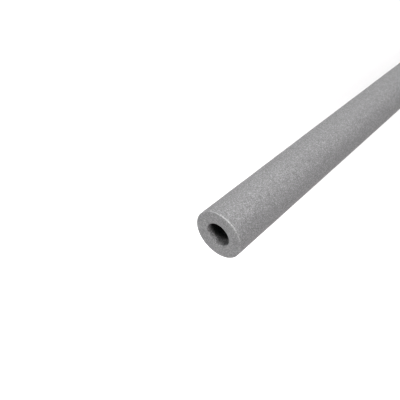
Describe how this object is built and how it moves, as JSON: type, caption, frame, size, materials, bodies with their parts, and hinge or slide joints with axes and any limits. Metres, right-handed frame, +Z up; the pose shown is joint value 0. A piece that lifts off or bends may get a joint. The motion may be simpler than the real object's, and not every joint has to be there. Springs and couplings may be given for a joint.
{
  "type": "pipe insulation lagging",
  "caption": "Straight length of grey closed-cell foam tube that slips over a heating or water pipe to insulate it, cut square at both ends.",
  "frame": {"origin": "on the floor, at the centre of the tube's lower cut face", "axes": "+Z up along the tube, which stands on its end; X and Y are across it and alike"},
  "size_m": [0.051, 0.051, 1],
  "materials": {
    "grey_foam": "matt closed-cell foam with a fine mottled skin"
  },
  "bodies": {
    "root": {"lagging_tube": "grey_foam"}
  },
  "joints": []
}
